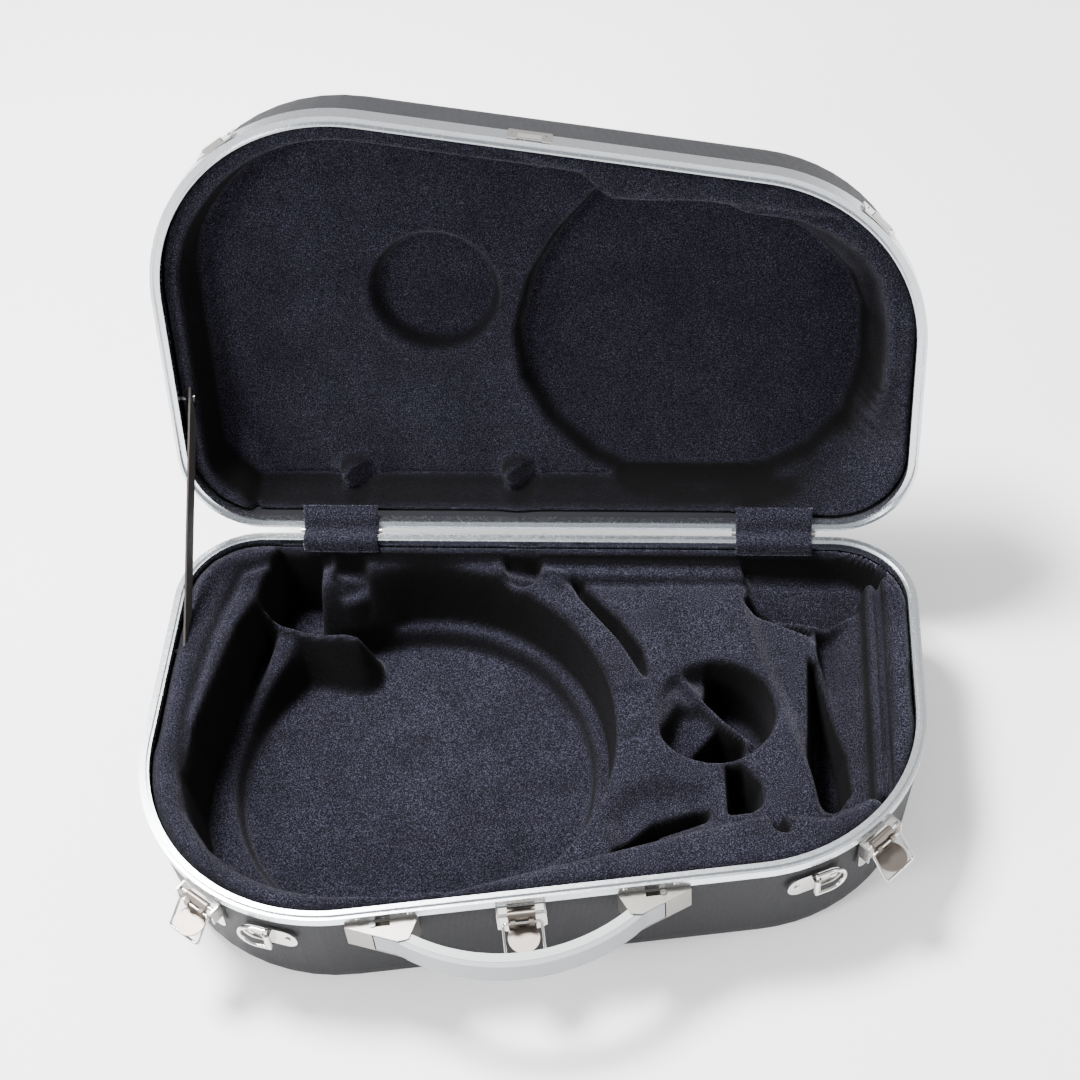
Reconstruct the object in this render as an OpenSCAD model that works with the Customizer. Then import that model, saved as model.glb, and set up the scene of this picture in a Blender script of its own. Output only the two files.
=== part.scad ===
// Hard case for a french horn with a detachable bell flare, shown open.
// X runs right along the hinge line, Y to the back, Z up. The origin is the middle of the base's flat underside.

/* [Case] */
// Width of the opening inside the rims
opening_w = 600; // [560:5:640]
// Distance from the middle of the case to the rear inner edge
rear_y = 176.5; // [165:0.5:190]
// Distance from the middle of the case to the front inner edge, on the centre line
front_y = 156.5; // [145:0.5:170]
// Angle by which the front edge runs back towards the right
front_slope = 8.7; // [6:0.1:11]
// Corner radius at the front left, where the bell lies
left_r = 147; // [130:1:150]
// Corner radius at the front right
right_r = 142; // [120:1:150]
// Corner radius at both rear corners
rear_r = 60; // [45:1:70]
// Height of the base, underside to rim face
base_h = 116; // [105:1:130]
// Height of the lid, rim face to top
lid_h = 84; // [75:1:95]
// Thickness of the moulded shells
wall = 3; // [2.5:0.5:4]
// Radius round the underside of the base and the top of the lid
edge_r = 22; // [16:1:26]
// Angle of the open lid, from closed
lid_open = 106.45; // [90:0.05:110]

/* [Rims] */
// Width of the metal rim faces
rim_w = 8; // [7:0.5:9]
// Depth of the base rim
base_rim_h = 8; // [6:0.5:10]
// Depth of the lid rim with its outer skirt
lid_rim_h = 17; // [14:0.5:20]
// Height of the tongue on the base rim
tongue_h = 2.2; // [1.5:0.1:3]

/* [Linings] */
// Bell diameter that the round pocket takes
bell_d = 310; // [290:1:315]
// Middle of the round pocket, left of the centre line
bell_x = -102; // [-108:1:-94]
// Middle of the round pocket, front to back
bell_y = 0; // [-4:1:4]
// Diameter of the recess in the lid for the bell's ring
recess_d = 100; // [90:1:104]

/* [Hardware] */
// Width of a latch plate
latch_w = 37; // [34:0.5:42]
// Height of a latch plate
latch_h = 36; // [32:1:40]
// Direction that the front left latch faces
latch_left_a = -124; // [-130:1:-118]
// Direction that the front right latch faces
latch_right_a = -44.5; // [-50:0.5:-40]
// Travel of a latch lever from shut to raised
lever_travel = 100; // [80:5:110]
// Diameter of the bail wire
bail_d = 2.2; // [2:0.1:2.6]
// Direction that the left carrying ring faces
ring_left_a = -103; // [-108:1:-98]
// Direction that the right carrying ring faces
ring_right_a = -66; // [-72:1:-60]
// Distance from the middle of the handle to the outer end of a bracket
handle_half = 129; // [120:1:135]
// How far the grip stands out from the front edge
grip_out = 57; // [50:1:62]
// Height of the grip band
grip_h = 20.8; // [18:0.2:22]
// Length of a hinge
hinge_l = 70; // [60:1:80]
// Width of the lid strap
strap_w = 20; // [15:1:25]

/* [Hidden] */
$fn = 96;
gap = 0.3;
tiny = 0.01;
arc_steps = 14;

// outline corners, anticlockwise from the front left: [x, y, radius, first angle, last angle]
half_w = opening_w / 2;
function corner_y(x, r) = -front_y + (r + x * sin(front_slope)) / cos(front_slope);
left_cx = -half_w + left_r;
right_cx = half_w - right_r;
left_c = [left_cx, corner_y(left_cx, left_r)];
right_c = [right_cx, corner_y(right_cx, right_r)];
front_a = front_slope - 90;
CORNERS = [
    [left_c.x, left_c.y, left_r, -180, front_a],
    [right_c.x, right_c.y, right_r, front_a, 0],
    [half_w - rear_r, rear_y - rear_r, rear_r, 0, 90],
    [-half_w + rear_r, rear_y - rear_r, rear_r, 90, 180]
];
function polar(c, r, a) = [c[0] + r * cos(a), c[1] + r * sin(a)];
function arc_points(c, r, a0, a1, n) = [for (i = [0:n]) polar(c, r, a0 + (a1 - a0) * i / n)];
function outline_points(e) = [
    for (c = CORNERS)
        for (p = arc_points(c, c[2] + e, c[3], c[4], arc_steps)) p
];

// the shell stands this far outside the opening at the rim, and less at its flat face
base_shell_e = 7;
lid_shell_e = 5.7;
shell_draft = 6;
lid_shell_top = 7.2;

// hinge line
hinge_y = rear_y + 10.8;
barrel_r = 2.5;
hinge_pin_r = 1.25;
hinge_bore_r = 1.3;
hinge_x = [-175, 192];
leaf_t = 1.2;
leaf_h = 13;
knuckle = 14.5;

// round pocket
bell_c = [bell_x, bell_y];
well_r = bell_d / 2 + 1;
pocket_r = 166;
ring_r = 186;
block_r = 196;
floor_top = 10;
ledge_top = 32;
block_top = 88;
edge_top = base_h - 2;
lid_floor = 50;
lid_deep = 70;
D_C = [116, 25];
D_R = 139;

// latch: pin, wire and crease positions as [outward, up] from the rim face at the outline
plate_e = 7.3;
plate_t = 1.5;
ear_l = latch_w / 2 - 1.5;
lever_pin = [13.2, -13];
lever_pin_r = 1.5;
lever_tilt = 8;
lever_w = 24;
lever_l = 14;
tongue_tilt = 82;
tongue_l = 18.6;
bail_at = [4.2, 4.4];
bail_tilt = 42;
bail_r = bail_d / 2;
strike_wire = [10.9, 7];
bail_pos = [
    lever_pin[0] + bail_at[0] * sin(lever_tilt) + bail_at[1] * cos(lever_tilt),
    lever_pin[1] - bail_at[0] * cos(lever_tilt) + bail_at[1] * sin(lever_tilt)
];
bail_l = norm(strike_wire - bail_pos);

// handle, in the frame of the front edge: [along, outward]
handle_mid = -2;
grip_sweep_r = 152;
grip_c = grip_out - grip_sweep_r;
grip_t = 11;
insert_t = 7;
bracket_in = 74;
bracket_nose = [90, 26.5];
bracket_tip = [handle_half, 10.5];
bracket_h = 24;
lip = 1;
tongue_end = 108;
tongue_t = 4.4;
band_end = 86;
bracket_z = -8.4;
slot_l = 15;
slot_w = 3.8;
slot_c = [102.5, 10.9];
handle_pin_r = 1.7;

// strap ends, [y, z] with the lid open
strap_x = -292;
strap_t = 1.6;
anchor_r = 2;
anchor_x = -301.5;
strap_base = [66, base_h - 12];
strap_lid_closed = [65 - hinge_y, 14];
strap_lid = [
    hinge_y + strap_lid_closed[0] * cos(lid_open) + strap_lid_closed[1] * sin(lid_open),
    base_h - strap_lid_closed[0] * sin(lid_open) + strap_lid_closed[1] * cos(lid_open)
];

// ---- shared modules ----

// plan of the case, grown by e
module outline(e) {
    polygon([for (c = CORNERS) for (a = [c[3], c[4]]) polar(c, c[2] + e, a)]);
    for (c = CORNERS)
        translate([c[0], c[1]])
            circle(r = c[2] + e);
}

// plan between two outlines
module outline_band(outer, inner) {
    difference() {
        outline(outer);
        outline(inner);
    }
}

// extrudes a plan from z0 to z1
module slab(z0, z1) {
    translate([0, 0, z0])
        linear_extrude(height = z1 - z0)
            children();
}

// turns a shape modelled with the lid shut, z = 0 at the rim face, to the open lid
module on_lid() {
    translate([0, hinge_y, base_h])
        rotate([-lid_open, 0, 0])
            translate([0, -hinge_y, 0])
                children();
}

// places a shape at the rim face: x along the edge, -y outward, from an outline corner or the front edge
module at_corner(c, r, a) {
    p = polar(c, r, a);
    translate([p.x, p.y, 0])
        rotate([0, 0, a + 90])
            children();
}
module at_front() {
    translate([0, -front_y, 0])
        rotate([0, 0, front_slope])
            children();
}
module at_latch(i) {
    if (i == 0) at_corner(left_c, left_r, latch_left_a) children();
    if (i == 1) at_front() children();
    if (i == 2) at_corner(right_c, right_r, latch_right_a) children();
}
module at_ring(i) {
    if (i == 0) at_corner(left_c, left_r, ring_left_a) children();
    if (i == 1) at_corner(right_c, right_r, ring_right_a) mirror([1, 0, 0]) children();
}

// cylinder along x, middle at x = 0, at [outward, up]
module x_rod(p, r, l) {
    translate([-l / 2, -p[0], p[1]])
        rotate([0, 90, 0])
            cylinder(r = r, h = l);
}

// dished shell: rings of [offset, height] from the flat face out, up and back in
function shell_rings(e, h, top) = concat(
    [for (i = [0:6]) [e - shell_draft - edge_r * (1 - sin(15 * i)), edge_r * (1 - cos(15 * i))]],
    [[e, h - top], [e - wall, h - top]],
    [for (i = [6:-1:0]) [
        e - shell_draft - wall - (edge_r - wall) * (1 - sin(15 * i)),
        wall + (edge_r - wall) * (1 - cos(15 * i))
    ]]
);
module shell_body(e, h, top) {
    rings = shell_rings(e, h, top);
    n = len(outline_points(0));
    m = len(rings);
    points = [for (g = rings) for (p = outline_points(g[0])) [p.x, p.y, g[1]]];
    sides = [
        for (k = [0:m - 2])
            for (i = [0:n - 1])
                let (j = (i + 1) % n)
                    [k * n + i, (k + 1) * n + i, (k + 1) * n + j, k * n + j]
    ];
    first = [for (i = [0:n - 1]) i];
    last = [for (i = [n - 1:-1:0]) (m - 1) * n + i];
    polyhedron(points = points, faces = concat([first], sides, [last]), convexity = 6);
}

// ---- shells and rims ----

module base_shell() {
    color("dimgray") shell_body(base_shell_e, base_h, base_rim_h);
}

module lid_shell() {
    color("dimgray")
        on_lid()
            translate([0, 0, lid_h])
                mirror([0, 0, 1])
                    shell_body(lid_shell_e, lid_h, lid_shell_top);
}

module base_rim() {
    color("silver") {
        slab(base_h - base_rim_h, base_h) outline_band(rim_w, 0);
        slab(base_h - tiny, base_h + tongue_h) outline_band(5, 2.2);
    }
}

module lid_rim() {
    color("silver")
        on_lid() {
            difference() {
                slab(0.2, lid_shell_top) outline_band(rim_w, 0);
                slab(0, tongue_h + 1) outline_band(5.8, 1.4);
            }
            slab(lid_shell_top - tiny, lid_rim_h) outline_band(rim_w, lid_shell_e + 0.2);
        }
}

// ---- base lining ----

module base_floor_pad() {
    color("midnightblue") slab(wall + gap, floor_top) outline(-20);
}

// plan of the bell side: everything left of its middle, and the ring to the right
module bell_side(e) {
    intersection() {
        outline(e);
        union() {
            translate(bell_c) circle(r = ring_r);
            translate([-half_w, -rear_y - 20]) square([half_w + bell_x, 2 * rear_y + 20]);
        }
    }
}

module bell_ledge_pad() {
    color("midnightblue")
        slab(floor_top, ledge_top)
            difference() {
                bell_side(-11);
                translate(bell_c) circle(r = well_r);
                corner_hole();
            }
}

corner_lo = [-246, 137];
corner_hi = [-193, 172];
module corner_hole() {
    translate(corner_lo) square(corner_hi - corner_lo);
}

// the left part of the pocket reaches past the round, under the padded edge
module pocket_plan() {
    translate(bell_c) circle(r = pocket_r);
    polygon([[bell_x, 132], [-250, 132], [-268, 20], [-268, -20], [bell_x, -100]]);
}

module bell_wall_pad() {
    color("midnightblue")
        slab(ledge_top, block_top)
            difference() {
                bell_side(-8);
                pocket_plan();
                corner_hole();
                translate([-half_w, 60]) square([half_w + bell_x, 140]);
            }
}

module rear_corner_pad() {
    color("midnightblue")
        slab(ledge_top, block_top)
            difference() {
                intersection() {
                    bell_side(-8);
                    translate([-half_w, 60 + gap]) square([half_w + bell_x - gap, 140]);
                }
                pocket_plan();
                corner_hole();
            }
}

valve_c = [142, 26];
valve_r = 51;
valve_floor = 40;
block_split_y = -34;
block_right = 214;
// plan of the blocks between the round pocket and the accessory space
module block_side() {
    difference() {
        intersection() {
            outline(-11);
            translate([bell_x + gap, -rear_y - 20]) square([block_right - bell_x, 2 * rear_y + 20]);
        }
        translate(bell_c) circle(r = block_r);
    }
}

box_plan = [[168, 132], [181, 114], [193, 104], [block_right + 1, 102], [block_right + 1, 160], [168, 160]];
module valve_block() {
    color("midnightblue")
        difference() {
            slab(floor_top, block_top + 4)
                intersection() {
                    block_side();
                    translate([-100, block_split_y]) square([400, 300]);
                }
            translate([valve_c.x, valve_c.y, valve_floor]) cylinder(r = valve_r, h = 100);
            slab(block_top - 34, base_h) polygon(box_plan);
            slab(valve_floor, base_h) translate([150, block_split_y - 1]) square([32, 30]);
        }
}

module slide_block() {
    color("midnightblue")
        difference() {
            slab(floor_top, block_top)
                intersection() {
                    block_side();
                    translate([-100, block_split_y - gap - 200]) square([400, 200]);
                }
            slab(block_top - 30, base_h) polygon([[55, -107], [143, -69], [143, -78], [59, -115]]);
            slab(valve_floor, base_h) translate([158, -80]) square([26, 60]);
        }
}

module accessory_wall() {
    color("midnightblue") {
        difference() {
            slab(floor_top, block_top)
                intersection() {
                    outline(-11);
                    translate([block_right + gap, -rear_y]) square([100, 2 * rear_y]);
                }
            slab(floor_top + 14, base_h)
                polygon([
                    [block_right, 92], [block_right, -60], [229, -78], [247, -58], [262, 0], [262, 120],
                    [240, 160], [block_right, 160]
                ]);
        }
    }
}

// padded edges under the rim
module edge_band(x0, x1) {
    slab(block_top + 4 + gap, edge_top)
        difference() {
            intersection() {
                outline(-gap);
                translate([x0, -200]) square([x1 - x0, 400]);
            }
            children();
        }
}

left_edge = [
    [-120, rear_y - 8], [-232, rear_y - 8], [-242, 112], [-264, 25], [-268, -24], [-266, -70],
    [-251, -102], [-214, -133], [-165, -155], [-120, -157]
];
module left_edge_pad() {
    color("midnightblue")
        difference() {
            edge_band(-half_w, -150) polygon(left_edge);
            strap_slot(strap_base[0]);
        }
}

front_edge = [
    [-160, 100], [-160, -156], [-89, -157], [-38, -148], [28, -124], [88, -104], [133, -90], [182, -75],
    [212, -72], [212, 100]
];
module front_edge_pad() {
    color("midnightblue")
        intersection() {
            edge_band(-150 + gap, 200) polygon(front_edge);
            translate([-160, -200, 0]) cube([400, 200, 200]);
        }
}

right_edge = [[199, -76], [212, -80], [246, -62], [262, -50], [262, 132], [240, rear_y - 8], [199, rear_y - 8]];
module right_edge_pad() {
    color("midnightblue") edge_band(200 + gap, half_w) polygon(right_edge);
}

module rear_edge_pad() {
    color("midnightblue")
        intersection() {
            edge_band(-150 + gap, 200) polygon([[-160, -200], [210, -200], [210, 168.5], [-160, 168.5]]);
            translate([-160, 100, 0]) cube([400, 100, 200]);
        }
}

// ---- lid lining ----

// deep pocket over the horn's coil
module coil_plan() {
    intersection() {
        translate(D_C) circle(r = D_R);
        translate([-100, -92]) square([400, 300]);
    }
    polygon([[D_C.x, -92], [215, -84], [268, -50], [272, 60], [245, 120], [180, 150], [D_C.x, 152]]);
}

module lid_main_pad() {
    color("midnightblue")
        on_lid()
            difference() {
                slab(lid_floor, lid_h - wall - gap) outline(-23);
                slab(0, lid_deep) coil_plan();
                slab(0, lid_deep) translate([bell_x + 15, bell_y - 13]) circle(d = recess_d);
            }
}

lid_block = [[44, -130], [72, -96], [200, -84], [232, -95], [262, -160], [60, -180], [40, -160]];
module lid_front_block() {
    color("midnightblue")
        on_lid()
            slab(20, lid_floor - gap)
                intersection() {
                    outline(-13);
                    polygon(lid_block);
                }
}

module lid_band(z0) {
    on_lid()
        slab(z0, lid_floor - gap)
            intersection() {
                outline_band(-2.6, -12);
                children();
            }
}

module lid_left_pad() {
    color("midnightblue")
        difference() {
            lid_band(6) translate([-310, -200]) square([110, 400]);
            on_lid() strap_slot(hinge_y + strap_lid_closed[0]);
        }
}

module lid_front_pad() {
    color("midnightblue") lid_band(6) translate([-200 + gap, -200]) square([400 - gap, 200]);
}

module lid_right_pad() {
    color("midnightblue") lid_band(6) translate([200 + gap, -200]) square([110, 400]);
}

module lid_rear_pad() {
    color("midnightblue") lid_band(6) translate([-200 + gap, 0]) square([400 - gap, 200]);
}

// ---- hinges, covers and strap ----

module knuckles(outer) {
    for (side = outer ? [-1, 1] : [0]) {
        l = outer ? hinge_l / 2 - knuckle : 2 * (knuckle - gap);
        translate([side * (hinge_l / 2 + knuckle) / 2, 0, 0]) {
            difference() {
                union() {
                    x_rod([0, 0], barrel_r, l);
                    translate([-l / 2, -barrel_r, outer ? -3.2 : 0]) cube([l, leaf_t, 3.2]);
                }
                x_rod([0, 0], hinge_bore_r, l + 1);
            }
        }
    }
}

module leaf(up) {
    z0 = up ? 3.1 : -leaf_h;
    translate([-hinge_l / 2, -barrel_r, z0]) cube([hinge_l, leaf_t, leaf_h - 3.1]);
}

module hinge_leaf_base(i) {
    color("silver")
        translate([hinge_x[i], hinge_y, base_h]) {
            knuckles(true);
            leaf(false);
        }
}

module hinge_leaf_lid(i) {
    color("silver")
        on_lid()
            translate([hinge_x[i], hinge_y, 0]) {
                knuckles(false);
                leaf(true);
            }
}

module hinge_pins() {
    color("gray")
        for (x = hinge_x)
            translate([x, hinge_y, base_h]) x_rod([0, 0], hinge_pin_r, hinge_l);
}

module rivet_row(z) {
    for (i = [0, 1])
        for (x = [-27, 0, 27])
            translate([hinge_x[i] + x, hinge_y - barrel_r + leaf_t, z])
                rotate([-90, 0, 0])
                    cylinder(r = 2.2, h = 0.8);
}

module hinge_rivets_base() {
    color("gray") translate([0, 0, base_h]) rivet_row(-8.5);
}

module hinge_rivets_lid() {
    color("gray") on_lid() rivet_row(8.5);
}

// fabric flap from the lid lining to the base lining, over both rims
cover_w = 64;
cover_z = base_h + tongue_h + 0.6;
// [y, z] at a distance up the open lid's rim face from the hinge line, and that far in front of it
function lid_face(up, out) = [
    hinge_y - up * cos(lid_open) - out * sin(lid_open),
    base_h + up * sin(lid_open) - out * cos(lid_open)
];
module hinge_cover(i) {
    color("midnightblue")
        translate([hinge_x[i] - cover_w / 2, 0, 0])
            rotate([90, 0, 90])
                linear_extrude(height = cover_w)
                    polygon([
                        [rear_y - 3.5, edge_top + 0.5], [rear_y - 2.1, edge_top + 0.5],
                        [rear_y - 2.1, cover_z], [hinge_y - 1.8, cover_z], lid_face(3.2, 0.9),
                        lid_face(13.5, 0.6), lid_face(13.5, 2), lid_face(4.5, 2.3),
                        [hinge_y - 2.3, cover_z + 1.4], [rear_y - 3.5, cover_z + 1.4]
                    ]);
}

module lid_strap() {
    d = strap_lid - strap_base;
    l = norm(d);
    color("black")
        translate([strap_x, strap_base[0], strap_base[1]])
            rotate([atan2(d[1], d[0]), 0, 0])
                difference() {
                    translate([0, -8, -strap_w / 2]) cube([strap_t, l + 16, strap_w]);
                    for (y = [0, l])
                        translate([-1, y, 0])
                            rotate([0, 90, 0]) cylinder(r = anchor_r + gap, h = 4);
                }
}

// rivet through the end of the strap into the shell's side
module strap_anchor() {
    translate([anchor_x, 0, 0])
        rotate([0, 90, 0]) cylinder(r = anchor_r, h = strap_x + strap_t + gap - anchor_x + tiny);
    translate([strap_x + strap_t + gap, 0, 0])
        rotate([0, 90, 0]) cylinder(r = 4, h = 1.4);
}

module strap_anchor_base() {
    color("silver") translate([0, strap_base[0], strap_base[1]]) strap_anchor();
}

module strap_anchor_lid() {
    color("silver")
        on_lid()
            translate([0, hinge_y + strap_lid_closed[0], strap_lid_closed[1]]) strap_anchor();
}

// room for a strap end behind the lining
module strap_slot(y) {
    translate([anchor_x - 3, y - 17, 0]) cube([strap_x + 7.5 - anchor_x, 51, base_h + 20]);
}

// ---- latches ----

module latch_plate(i) {
    color("gainsboro")
        translate([0, 0, base_h])
            at_latch(i) {
                translate([-latch_w / 2, -plate_e - plate_t, -8.4 - latch_h + 8])
                    cube([latch_w, plate_t, latch_h - 8]);
                translate([-latch_w / 2 + 8, -plate_e - plate_t, -8.4 - latch_h])
                    cube([latch_w - 16, plate_t, 8 + tiny]);
                for (s = [-1, 1]) {
                    translate([s * (latch_w / 2 - 8), -plate_e, -8.4 - latch_h + 8])
                        rotate([90, 0, 0]) cylinder(r = 8, h = plate_t);
                    difference() {
                        translate([s * (ear_l + 0.75) - 0.75, -17.4, -25])
                            cube([1.5, 17.4 - plate_e - tiny, 16]);
                        x_rod(lever_pin, lever_pin_r, latch_w + 2);
                    }
                }
            }
}

module latch_pins() {
    color("gray")
        translate([0, 0, base_h])
            for (i = [0:2]) at_latch(i) x_rod(lever_pin, lever_pin_r, latch_w + 0.6);
}

module latch_rivets() {
    color("gray")
        translate([0, 0, base_h])
            for (i = [0:2])
                at_latch(i)
                    for (x = [-9, 9])
                        translate([x, -plate_e - plate_t, -38])
                            rotate([90, 0, 0]) cylinder(r = 2.2, h = 0.9);
}

// lever: x along the edge, hanging from its pin at the origin
plate_y = -3.1;
sheet_t = 1.4;
module tongue_plan() {
    translate([-lever_w / 2 + 1.8, -tongue_l + lever_w / 2]) square([lever_w - 3.6, tongue_l - lever_w / 2 + 0.9]);
    translate([0, -tongue_l + lever_w / 2]) circle(r = lever_w / 2);
}
module lever_shape() {
    difference() {
        union() {
            x_rod([0, 0], 3.3, lever_w - 3);
            rotate([-lever_tilt, 0, 0]) {
                translate([-lever_w / 2 + 1.6, plate_y, -lever_l]) cube([lever_w - 3.2, sheet_t, lever_l]);
                for (s = [-1, 1])
                    translate([s * 7 - 2, -bail_at[1] - 2, -bail_at[0] - 2.2]) cube([4, 4, 4.4]);
                translate([0, plate_y - 0.1, -lever_l + 0.3])
                    rotate([90 + lever_tilt - tongue_tilt, 0, 0])
                        translate([0, 0, -sheet_t - 0.2])
                            linear_extrude(height = sheet_t + 0.2) tongue_plan();
            }
        }
        x_rod([0, 0], lever_pin_r + 0.08, lever_w);
        rotate([-lever_tilt, 0, 0]) x_rod([bail_at[1], -bail_at[0]], bail_r + 0.08, lever_w);
        rotate([-lever_tilt, 0, 0]) translate([-2.5, -5, -11.5]) cube([5, 6, 1.6]);
    }
}

module latch_lever(i) {
    color("rosybrown")
        translate([0, 0, base_h])
            at_latch(i)
                translate([0, -lever_pin[0], lever_pin[1]]) lever_shape();
}

// wire loop, hanging from its bar at the origin
bail_half = 14.6;
bend_r = 2.4;
module z_wire(x, z0, z1) {
    translate([x, 0, z0]) cylinder(r = bail_r, h = z1 - z0);
}
module bend(x, z, a) {
    translate([x, 0, z])
        rotate([90, a, 0])
            intersection() {
                rotate_extrude() translate([bend_r, 0]) circle(r = bail_r);
                translate([0, 0, -5]) cube(10);
            }
}
module bail_shape() {
    x = bail_half - bend_r;
    z = bail_l - bend_r;
    x_rod([0, 0], bail_r, 2 * x);
    x_rod([0, -bail_l], bail_r, 2 * x);
    z_wire(bail_half, -z, -bend_r);
    z_wire(-bail_half, -z, -bend_r);
    bend(x, -bend_r, 0);
    bend(-x, -bend_r, -90);
    bend(-x, -z, 180);
    bend(x, -z, 90);
}

module latch_bail(i) {
    color("white")
        translate([0, 0, base_h])
            at_latch(i)
                translate([0, -bail_pos[0], bail_pos[1]])
                    rotate([-bail_tilt, 0, 0]) bail_shape();
}

module strike(i) {
    color("gainsboro")
        on_lid()
            at_latch(i) {
                difference() {
                    translate([-17, -rim_w - 1.5, 1]) cube([34, 1.2, 16]);
                    translate([-10, -rim_w - 3, 0]) cube([20, 4, 2]);
                }
                translate([-9, -rim_w - 5, 2.6]) cube([18, 3.6, 3]);
            }
}

module strike_rivets() {
    color("gray")
        on_lid()
            for (i = [0:2])
                at_latch(i)
                    for (x = [-13, 13])
                        translate([x, -rim_w - 1.5, 12.5])
                            rotate([90, 0, 0]) cylinder(r = 1.7, h = 0.7);
}

// ---- carrying rings ----
ring_z = -30;
ring_wire = 1.6;
ring_bar = 13;
ring_axis = 12.4;
module ring_plate(i) {
    color("gainsboro")
        translate([0, 0, base_h + ring_z])
            at_ring(i) {
                for (x = [-12, 12])
                    translate([x, -plate_e, 0])
                        rotate([90, 0, 0]) cylinder(r = 10.5, h = plate_t);
                translate([-12, -plate_e - plate_t, -10.5]) cube([24, plate_t, 21]);
                difference() {
                    union() {
                        translate([0, -ring_axis, -8]) cylinder(r = 3, h = 16);
                        translate([-3, -ring_axis, -8]) cube([6, ring_axis - plate_e - tiny, 16]);
                    }
                    translate([0, -ring_axis, -9]) cylinder(r = ring_wire + 0.08, h = 18);
                }
            }
}

// the ring lies to the left of its bar
module carry_ring(i) {
    color("white")
        translate([0, 0, base_h + ring_z])
            at_ring(i)
                translate([0, -ring_axis, 0]) {
                    translate([0, 0, -ring_bar]) cylinder(r = ring_wire, h = 2 * ring_bar);
                    for (s = [-1, 1]) {
                        translate([0, 0, s * ring_bar]) sphere(r = ring_wire);
                        translate([0, 0, s * ring_bar])
                            rotate([0, -90, 0]) cylinder(r = ring_wire, h = 10);
                    }
                    translate([-10, 0, 0])
                        rotate([90, 0, 0])
                            intersection() {
                                rotate_extrude() translate([ring_bar, 0]) circle(r = ring_wire);
                                translate([-30, -30, -5]) cube([30, 60, 10]);
                            }
                }
}

module ring_rivets() {
    color("gray")
        translate([0, 0, base_h + ring_z])
            for (i = [0, 1])
                at_ring(i)
                    for (x = [-15, 15])
                        translate([x, -plate_e - plate_t, 0])
                            rotate([90, 0, 0]) cylinder(r = 2.6, h = 1);
}

// ---- handle ----

module at_handle(side) {
    translate([0, 0, base_h + bracket_z])
        at_front()
            translate([handle_mid, 0, 0])
                scale_side(side) children();
}
module scale_side(side) {
    if (side > 0) children();
    if (side < 0) mirror([1, 0, 0]) children();
}

// outward position of a bracket's sloping face, and of the grip's outer edge, x from the middle
function slope_n(x) = bracket_nose.y + (bracket_tip.y - bracket_nose.y) * (x - bracket_nose.x)
    / (bracket_tip.x - bracket_nose.x);
function sweep_n(x) = grip_c + sqrt(grip_sweep_r * grip_sweep_r - x * x);

// a bow between two radii, x positive outward in plan
module bow(r0, r1, x0, x1) {
    difference() {
        intersection() {
            translate([0, grip_c]) circle(r = r1);
            translate([x0, 0]) square([x1 - x0, 100]);
        }
        translate([0, grip_c]) circle(r = r0);
    }
}

module bracket_plan() {
    polygon([
        [bracket_in, plate_e + 0.2], [handle_half, plate_e + 0.2], bracket_tip, bracket_nose,
        [bracket_nose.x - 8, bracket_nose.y - 1]
    ]);
}

// room for the end of the grip, open at the nose and the sloping face
module bracket_mouth() {
    bow(grip_sweep_r - grip_t - 2, grip_sweep_r + 2, bracket_in - 4, band_end + 1);
    polygon([
        [band_end - 1, sweep_n(band_end)], [band_end - 1, slope_n(band_end) - tongue_t - 1.5],
        [tongue_end + 1, slope_n(tongue_end) - tongue_t - 1], [tongue_end + 1, slope_n(tongue_end) + 3]
    ]);
}

module slot_plan() {
    translate([slot_c.x - slot_l / 2, slot_c.y - slot_w / 2]) square([slot_l, slot_w]);
}

module handle_bracket(side) {
    color("silver")
        at_handle(side)
            mirror([0, 1, 0])
                difference() {
                    slab(-bracket_h, 0) bracket_plan();
                    slab(lip - bracket_h, -lip) bracket_mouth();
                    slab(-8, 1) slot_plan();
                }
}

grip_z = -(bracket_h - grip_h) / 2;
module handle_grip() {
    color("lightgray")
        at_handle(1)
            mirror([0, 1, 0]) {
                slab(grip_z - grip_h, grip_z)
                    bow(grip_sweep_r - grip_t + insert_t, grip_sweep_r, -band_end, band_end);
                for (side = [-1, 1])
                    scale_side(side)
                        slab(grip_z - grip_h + 0.2, grip_z - 0.2)
                            polygon([
                                [band_end - 3, sweep_n(band_end - 3) - 0.8],
                                [band_end + 0.6, sweep_n(band_end) - 0.7],
                                [band_end + 7, slope_n(band_end + 7)],
                                [tongue_end, slope_n(tongue_end)],
                                [tongue_end, slope_n(tongue_end) - tongue_t],
                                [band_end + 0.8, sweep_n(band_end) - 5.6],
                                [band_end - 3, sweep_n(band_end - 3) - 3.4]
                            ]);
            }
}

module handle_insert() {
    color("gainsboro")
        at_handle(1)
            mirror([0, 1, 0])
                slab(grip_z - grip_h + 1.5, grip_z + 0.3)
                    bow(grip_sweep_r - grip_t, grip_sweep_r - grip_t + insert_t - 0.1, -84, 84);
}

module handle_pin(side) {
    color("white")
        at_handle(side)
            translate([slot_c.x + slot_l / 2 - slot_w / 2, -slot_c.y, 0]) {
                translate([0, 0, -8]) cylinder(r = handle_pin_r, h = 8.6);
                translate([0, 0, 0.2]) cylinder(r = 2.4, h = 0.8);
            }
}

module bracket_screws() {
    color("gray")
        for (side = [-1, 1])
            at_handle(side)
                for (x = [80, 118])
                    translate([x, -rim_w, 4.5])
                        rotate([90, 0, 0]) cylinder(r = 2, h = 0.8);
}

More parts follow.
